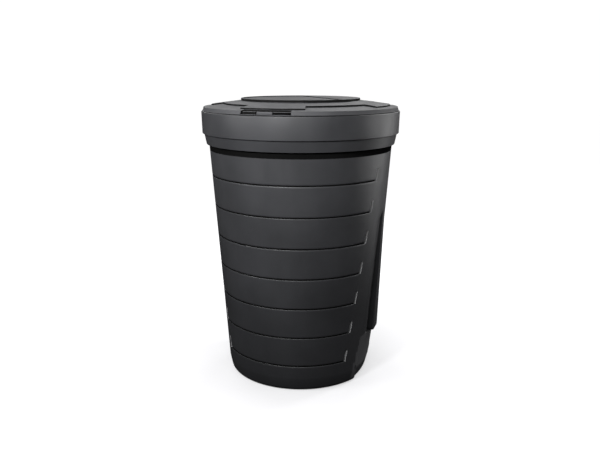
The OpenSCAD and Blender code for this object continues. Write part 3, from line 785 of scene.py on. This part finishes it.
gasket_line = washer_line(SLEEVE_R, 27 * MM, TOUCH, GASKET_T - TOUCH, 0.5 * MM)
inner_line = washer_line(SLEEVE_R, 26 * MM, WASHER_LOW, -PAD_T - TOUCH, 0.5 * MM)
nut_line = washer_line(SLEEVE_R, 27 * MM, NUT_LOW, WASHER_LOW, 0.9 * MM)
outlet, gasket, washer = [
    make_part(name, [lathe(line, OUT_AXIS, OUT)], "barrel", node)
    for name, line, slot, node in (("outlet", outlet_line, "fitting_plastic", "outlet_fitting"),
                                   ("outer_gasket", gasket_line, "seal_rubber", "outlet_gasket"),
                                   ("inner_washer", inner_line, "seal_rubber", "outlet_washer"))]
nut_shell = lathe(nut_line, OUT_AXIS, OUT, sides=72, hexagon=True)
nut = make_part("back_nut", [nut_shell], "barrel", "outlet_nut")

# %% Drain plug with its wing
PLUG_BASE, HEAD_R, HEAD_T = FLANGE_FACE, 23 * MM, 6 * MM
WING_L, WING_T, WING_H = 38 * MM, 8 * MM, 13 * MM
SHANK_R, shank_end = BORE_R - 0.1 * MM, OUT_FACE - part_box("drain_plug")[1].x
head_top, head_low = PLUG_BASE + HEAD_T, PLUG_BASE + 0.1 * MM
head_line = fillet([(0.3 * MM, head_top), (HEAD_R, head_top), (HEAD_R, head_low), (SHANK_R, head_low),
                    (SHANK_R, shank_end), (0.3 * MM, shank_end)],
                   [1.8 * MM, 0.5 * MM, 0, 1.2 * MM], turns=5)
points, faces = lathe(head_line, OUT_AXIS, OUT, sides=144)
rim = np.hypot(points[:, 1], points[:, 2] - OUT_Z)
turn = np.arctan2(points[:, 2] - OUT_Z, points[:, 1])
outer = step(HEAD_R - 1.5 * MM, HEAD_R, rim)
squeeze = 1.0 - outer * 0.5 * MM * (0.5 + 0.5 * np.cos(36 * turn)) / np.maximum(rim, 1 * MM)
points = np.column_stack([points[:, 0], points[:, 1] * squeeze,
                          OUT_Z + (points[:, 2] - OUT_Z) * squeeze])


def wing_points():
    """A grip whose plan is a stadium that narrows upwards by a smooth curve, with a crowned top."""
    t = np.linspace(0, 2 * math.pi, 48, endpoint=False)
    rows = []
    for level in np.linspace(0, 1, 9):
        half_l = WING_L / 2 * (1 - 0.12 * level ** 2) - WING_T / 2
        wide = WING_T / 2 * (1 - 0.18 * level)
        crown = 0.75 + 0.25 * math.sqrt(1 - max(0.0, (level - 0.75) / 0.25) ** 2)
        y = np.clip(np.cos(t) * 3, -1, 1) * half_l + np.cos(t) * wide * crown
        z = np.sin(t) * wide * crown
        x = np.full(48, OUT_FACE - (PLUG_BASE + HEAD_T - 1 * MM + level * (WING_H + 1 * MM)))
        rows.append(np.column_stack([x, y, OUT_Z + z]))
    return np.array(rows)


plug = make_part("drain_plug_wing", [(points, faces), capped_net(wing_points()[::-1])],
                 "plug", "drain_plug")
seal_line = washer_line(SHANK_R + 0.4 * MM, HEAD_R - 3.2 * MM, PLUG_BASE + TOUCH,
                        PLUG_BASE + 1.5 * MM, 0.5 * MM)
seal = make_part("plug_ring_seal", [lathe(seal_line, OUT_AXIS, OUT)], "plug", "plug_seal")

# %% Inlet grommet
LIP_R, LIP_T, NECK_R, HOSE_R = 21 * MM, 3 * MM, 15.95 * MM, 12.5 * MM
lip_line = fillet([(NECK_R, -PAD_T / 2), (NECK_R, 0), (LIP_R, 0), (LIP_R, LIP_T), (HOSE_R, LIP_T),
                   (HOSE_R, -PAD_T - LIP_T), (LIP_R, -PAD_T - LIP_T), (LIP_R, -PAD_T), (NECK_R, -PAD_T),
                   (NECK_R, -PAD_T / 2)], np.array([0.3, 0.8, 1.2, 1.0, 1.0, 1.2, 0.8, 0.3]) * MM, turns=4)
grommet = make_part("hose_grommet", [lathe(lip_line[:-1], IN_AXIS, IN)],
                    "barrel", "inlet_grommet")

# %% [markdown]
# ## Finishes
# The barrel and lid are polypropylene with a satin, very finely grained surface. The base colour is a
# neutral near-black that slow noise varies a little. Noise drawn out in height, like the flow of the
# melt, varies the roughness, and a fine noise gives the grain. Some colours are painted light and
# shade: darker materials paint shade on the lid's little walls, the seam under its flange, the strip
# under the collar and the board grooves, paler ones paint light on the pockets' lit walls and the tap
# seats, and a ramp of height darkens the barrel's foot, lightens its collar and darkens its rim.

# %% Material helpers
def add_node(tree, kind, inputs):
    """A shader node, each of its inputs set to a value or linked to another node's socket."""
    node = tree.nodes.new("ShaderNode" + kind)
    for key, value in inputs.items():
        if isinstance(value, bpy.types.NodeSocket):
            tree.links.new(value, node.inputs[key])
        else:
            node.inputs[key].default_value = value
    return node


def new_material(name):
    """A material that holds only a Principled shader, and its tree."""
    material = bpy.data.materials.new(name)
    material.use_nodes = True
    tree = material.node_tree
    tree.nodes.clear()
    shader = add_node(tree, "BsdfPrincipled", {})
    add_node(tree, "OutputMaterial", {"Surface": shader.outputs["BSDF"]})
    return material, tree, shader


def noise(tree, scale, detail, rough, stretch=(1, 1, 1)):
    """Noise on the piece's own coordinates, stretched along an axis by a smaller factor there."""
    coords = add_node(tree, "TexCoord", {}).outputs["Object"]
    place = add_node(tree, "Mapping", {"Scale": stretch, "Vector": coords}).outputs["Vector"]
    return add_node(tree, "TexNoise", {"Scale": scale, "Detail": detail, "Roughness": rough,
                                       "Vector": place}).outputs["Fac"]


def mapped(tree, value, low, high, to_low, to_high):
    """The value moved from one range to another, clamped."""
    return add_node(tree, "MapRange", {"From Min": low, "From Max": high, "To Min": to_low,
                                       "To Max": to_high, "Value": value}).outputs["Result"]


def mixed(tree, share, a, b):
    """Colour between a and b, which are colours or sockets, by a share that is a socket."""
    node = add_node(tree, "Mix", {"Factor": share})
    node.data_type = "RGBA"
    for key, colour in (("A", a), ("B", b)):
        socket = [s for s in node.inputs if s.name == key and s.type == "RGBA"][0]
        if isinstance(colour, tuple):
            socket.default_value = (*colour, 1.0)
        else:
            tree.links.new(colour, socket)
    return [s for s in node.outputs if s.type == "RGBA"][0]


def bumped(tree, shader, heights):
    """Bump nodes in a chain, one for each (height socket, strength, distance)."""
    last = {}
    for height, strength, distance in heights:
        inputs = {"Strength": strength, "Distance": distance, "Height": height, **last}
        last = {"Normal": add_node(tree, "Bump", inputs).outputs["Normal"]}
    tree.links.new(last["Normal"], shader.inputs["Normal"])


# %% Moulded plastic
def painted_shading(tree, colour, stops):
    """The colour times a ramp of height, which paints light and shade: on the barrel it darkens the
    foot, lightens the collar's bands and darkens the rim under the lid's flange. Stops are (height in metres,
    share of the colour)."""
    coords = add_node(tree, "TexCoord", {}).outputs["Object"]
    z = add_node(tree, "SeparateXYZ", {"Vector": coords}).outputs["Z"]
    low, high = stops[0][0], stops[-1][0]
    ramp = add_node(tree, "ValToRGB", {"Fac": mapped(tree, z, low, high, 0.0, 1.0)})
    while len(ramp.color_ramp.elements) < len(stops):
        ramp.color_ramp.elements.new(0.5)
    for element, (height, share) in zip(ramp.color_ramp.elements, stops):
        element.position = (height - low) / (high - low)
        element.color = (share, share, share, 1.0)
    return mixed(tree, ramp.outputs["Color"], (0.0, 0.0, 0.0), colour)


def paint_wall_shade(piece, material, reach, seam):
    """Give a darker material to the upright faces inside a radius, and to those below the seam's
    height: painted shade on the little walls between the tops, and a painted shadow along the seam under the
    flange."""
    mesh = piece.data
    x, y, z = np.array([p.center for p in mesh.polygons]).T
    upright = np.abs([p.normal.z for p in mesh.polygons]) < 0.6
    walls = upright & ((np.hypot(x, y) < reach) | (z < seam))
    mesh.materials.append(material)
    mesh.polygons.foreach_set("material_index", walls.astype(np.int32))
    print(f"{piece.name}: {walls.sum()} dark faces")


def moulded_plastic(name, colour, rough_low, rough_high, specular=0.5, grain=1.0, stops=None):
    """Satin injection-moulded plastic: even colour, fine grain, patchy sheen and faint flow marks."""
    material, tree, shader = new_material(name)
    slow = noise(tree, 5.0, 3.0, 0.55)
    fine = noise(tree, 1600.0, 2.0, 0.6)
    flow = noise(tree, 14.0, 4.0, 0.6, stretch=(1, 1, 0.12))
    dark, light = (tuple(c * share for c in colour) for share in (0.84, 1.22))
    base = mixed(tree, mapped(tree, slow, 0.3, 0.7, 0.0, 1.0), dark, light)
    # With stops, the colour is multiplied by a height ramp of painted light and shade.
    if stops is not None:
        base = painted_shading(tree, base, stops)
    tree.links.new(base, shader.inputs["Base Color"])
    tree.links.new(mapped(tree, flow, 0.3, 0.7, rough_low, rough_high), shader.inputs["Roughness"])
    shader.inputs["Specular IOR Level"].default_value = specular
    bumped(tree, shader, [(flow, 0.06 * grain, 0.004), (fine, 0.16 * grain, 0.0004)])
    return material


def set_material(piece, material):
    piece.data.materials.clear()
    piece.data.materials.append(material)


BARREL_DARK, LID_DARK = (0.027, 0.0275, 0.030), (0.036, 0.0365, 0.0395)
# Painted light and shade by height: a darker foot, brighter collar bands, and a dark line at the rim for the
# shadow of the lid's flange.
PAINTED_SHADING_STOPS = [(0.0, 0.75), (0.35, 0.9), (COLLAR_Z - 24 * MM, 1.1), (COLLAR_Z + 2 * MM, 2.1),
           (BAND_Z - 1 * MM, 2.1), (BAND_Z + 1 * MM, 1.7), (RIM_Z - 2 * MM, 1.7), (RIM_Z, 0.3)]
FINISHES = {name: moulded_plastic(name, *look) for name, look in {
    "barrel_plastic": (BARREL_DARK, 0.40, 0.50, 0.42, 1.0, PAINTED_SHADING_STOPS),
    "lid_plastic": (LID_DARK, 0.60, 0.72, 0.30),
    # Painted shade: near-black matt for the lid's little walls and the seam under its flange.
    "wall_plastic": ((0.005, 0.005, 0.005), 0.75, 0.9, 0.05),
    # Painted light: a paler grey for the tap seats.
    "seat_plastic": ((0.045, 0.045, 0.048), 0.6, 0.7, 0.4),
    # Painted highlight: pale grey for the lit walls of the board-end pockets.
    "dust_plastic": ((0.28, 0.28, 0.285), 0.6, 0.7, 0.3),
    # Painted shadow: near-black matt for the strip under the collar and the board grooves.
    "strip_plastic": ((0.004, 0.004, 0.004), 0.8, 0.95, 0.0),
    "fitting_plastic": ((0.016, 0.016, 0.017), 0.32, 0.42),
    "seal_rubber": ((0.012, 0.012, 0.012), 0.62, 0.74, 0.3, 1.6)}.items()}
for name, pieces in {"barrel_plastic": (barrel, outlet_boss, inlet_boss),
                     "lid_plastic": (lid_ring, hinge_lugs, hatch, bolt),
                     "fitting_plastic": (outlet, nut, plug),
                     "seal_rubber": (gasket, washer, seal, grommet)}.items():
    for piece in pieces:
        set_material(piece, FINISHES[name])
# Painted shade on the lid's upright walls, and a painted shadow along the seam under its flange.
for piece in (lid_ring, hatch):
    paint_wall_shade(piece, FINISHES["wall_plastic"], SKIRT_TOP_R - 0.3 * MM, RIM_Z + 2.6 * MM)

# %% Painted shade and light on the barrel's faces
# Painted shadow: the strip under the collar, where its shadow falls, and the grooves between the boards
# get a dead matt, near-black material. Painted light: the pocket walls that catch the light get a pale
# grey, and the tap seats a paler grey than the wall.
for name in ("strip_plastic", "dust_plastic", "seat_plastic"):
    barrel.data.materials.append(FINISHES[name])
x, y, z = np.array([p.center for p in barrel.data.polygons]).T
reach, plain_r, around = np.hypot(x, y), wall_r(z), np.degrees(np.arctan2(x, -y))
# Painted shadow under the collar.
strip = (z > COLLAR_Z - STRIP) & (z < COLLAR_Z + 0.5 * MM) & (reach > plain_r - 1 * MM)
off = np.radians(front_angle(around) - board_angle(z)) * plain_r
# Painted highlight: the pocket faces past the board's end, standing in for the wall the light catches, are made
# pale.
pocket = (pocket_mask(around, z, grow=0.6 * MM) > 0.6) & (off > 0)
pocket &= (reach < plain_r - 0.4 * MM) & (reach > plain_r - POCKET_D - 0.5 * MM)
# Painted shade in the board grooves.
groove = (line_mask(around, z) > 0.05) & (reach > plain_r - LINE_D - 1 * MM) & ~pocket & ~strip
# Painted light on the tap seats.
seat = np.abs(np.abs(x) - seat_line(z) + y ** 2 / (2 * SEAT_R)) < 1.5 * MM
seat &= (z > 12 * MM) & (z < PANEL_LOW - 2 * MM) & ~pocket & ~groove
kinds = (strip | groove) * 1 + pocket * 2 + seat * 3
barrel.data.polygons.foreach_set("material_index", kinds.astype(np.int32))
print(f"{strip.sum()} faces in the sheltered strip, {pocket.sum()} painted_pale, {seat.sum()} on the seats")

# %% [markdown]
# ## Steel
# Pins, screws and the leaf spring are plain stainless steel with drawn lines along their length.

# %% Steel
def drawn_steel(name):
    """Metal with long fine scratches: noise squeezed across one axis drives roughness and bump."""
    material, tree, shader = new_material(name)
    lines = noise(tree, 700.0, 3.0, 0.6, stretch=(0.04, 1, 1))
    shader.inputs["Metallic"].default_value = 1.0
    tree.links.new(mixed(tree, lines, (0.50, 0.50, 0.49), (0.66, 0.66, 0.64)), shader.inputs["Base Color"])
    tree.links.new(mapped(tree, lines, 0.3, 0.7, 0.22, 0.4), shader.inputs["Roughness"])
    bumped(tree, shader, [(lines, 0.12, 0.0003)])
    return material


FINISHES["steel"] = drawn_steel("steel")
for entry in frame["record"]["subparts"]:
    set_material(frame["nodes"][entry["node"]], FINISHES[entry["material_slot"]])
print("finishes:", ", ".join(sorted(FINISHES)))

# %% [markdown]
# ## Floor, light and camera
# The floor is white and gives off a little light of its own, less near the barrel: the dimmer glow
# paints a soft shade round the foot, in which the lamps' real shadows show, and no horizon shows further
# out. It is kept out of the bounced light, as if the barrel stood on a lightbox. The background is white
# to the camera and dark to the barrel, so the plastic keeps its depth. Small soft lights near the front
# left give the upright highlight and the fall of tone down the wall, strips at the right draw the bright
# edge, and two lights at the back reach the lid's top and the far side.

# %% Floor
FLOOR_HALF = 14.0
floor_mesh = bpy.data.meshes.new("floor")
floor_mesh.from_pydata([(x * FLOOR_HALF, y * FLOOR_HALF, 0)
                        for x, y in ((-1, -1), (1, -1), (1, 1), (-1, 1))], [], [(0, 1, 2, 3)])
floor = bpy.data.objects.new("floor", floor_mesh)
bpy.context.scene.collection.objects.link(floor)
floor_material, tree, shader = new_material("floor_white")
for key, value in {"Base Color": (0.30, 0.30, 0.31, 1.0), "Roughness": 0.9, "Specular IOR Level": 0.0,
                   "Emission Color": (1.0, 0.996, 1.0, 1.0)}.items():
    shader.inputs[key].default_value = value
floor_reach = add_node(tree, "VectorMath", {0: add_node(tree, "TexCoord", {}).outputs["Object"]})
floor_reach.operation = "LENGTH"
# Painted shade: the floor's glow falls from 1.02 at 1.1 m out to 0.55 within 0.25 m of the middle.
tree.links.new(mapped(tree, floor_reach.outputs["Value"], 0.25, 1.1, 0.55, 1.02),
               shader.inputs["Emission Strength"])
set_material(floor, floor_material)
floor.visible_diffuse = floor.visible_glossy = False

# %% Camera
AZIMUTH, PITCH = math.radians(17.5), math.radians(12.92)
CAMERA_OUT, CAMERA_UP = 6.943 * COLLAR_R, 3.127 * COLLAR_R
camera_data = bpy.data.cameras.new("camera")
camera_data.lens, camera_data.sensor_width, camera_data.shift_x = 40.51, 36.0, -0.001
camera = bpy.data.objects.new("camera", camera_data)
camera.location = (CAMERA_OUT * math.sin(AZIMUTH), -CAMERA_OUT * math.cos(AZIMUTH), CAMERA_UP)
camera.rotation_euler = (math.pi / 2 - PITCH, 0.0, AZIMUTH)
bpy.context.scene.collection.objects.link(camera)
bpy.context.scene.camera = camera

# %% Lights
def area_light(name, azimuth, elevation, distance, size, power, aim):
    """A rectangular light at angles from the camera's direction and the level, pointing at aim."""
    data = bpy.data.lights.new(name, "AREA")
    data.shape = "RECTANGLE"
    (data.size, data.size_y), data.energy = size, power
    light = bpy.data.objects.new(name, data)
    turn, up = AZIMUTH + math.radians(azimuth), math.radians(elevation)
    ray = np.array([math.sin(turn) * math.cos(up), -math.cos(turn) * math.cos(up), math.sin(up)])
    place = ray * distance + np.array(aim)
    light.location = place
    light.rotation_euler = (Vector(aim) - Vector(place)).to_track_quat("-Z", "Y").to_euler()
    light.visible_camera = False
    bpy.context.scene.collection.objects.link(light)


LIGHTS = {"key": (-24, 18, 1.45, (0.26, 0.25), 22, 0.9), "left": (-64, 14, 1.5, (0.5, 0.3), 14, 0.9),
          "front": (-4, 20, 1.5, (0.5, 0.3), 10, 0.9), "front_right": (26, 18, 1.6, (0.5, 0.25), 2.5, 1.0),
          "low_right": (104, 2, 1.8, (0.5, 0.6), 2.2, 0.3), "edge_right": (84, 5, 2.2, (0.5, 1.0), 8, 0.7),
          "edge_back_right": (112, 5, 2.2, (0.5, 1.0), 8, 0.7),
          "high_right": (116, 38, 2.2, (0.4, 0.8), 24, 0.7),
          "back_left": (212, 40, 2.4, (1.2, 1.0), 24, 0.7),
          "back_right": (158, 40, 2.4, (1.2, 1.0), 24, 0.7)}
for name, (azimuth, elevation, distance, size, power, height) in LIGHTS.items():
    area_light(name, azimuth, elevation, distance, size, power, (0.0, 0.0, height))

# %% Background
world = bpy.data.worlds.new("studio")
world.use_nodes = True
sky = world.node_tree
dim, bright = (add_node(sky, "Background", {"Color": (1.0, 1.0, 1.0, 1.0), "Strength": strength}).outputs[0]
               for strength in (0.025, 1.02))
seen = add_node(sky, "LightPath", {}).outputs["Is Camera Ray"]
blend = add_node(sky, "MixShader", {0: seen, 1: dim, 2: bright}).outputs[0]
sky.links.new(blend, sky.nodes["World Output"].inputs["Surface"])
bpy.context.scene.world = world
bpy.context.scene.view_settings.view_transform = "Standard"
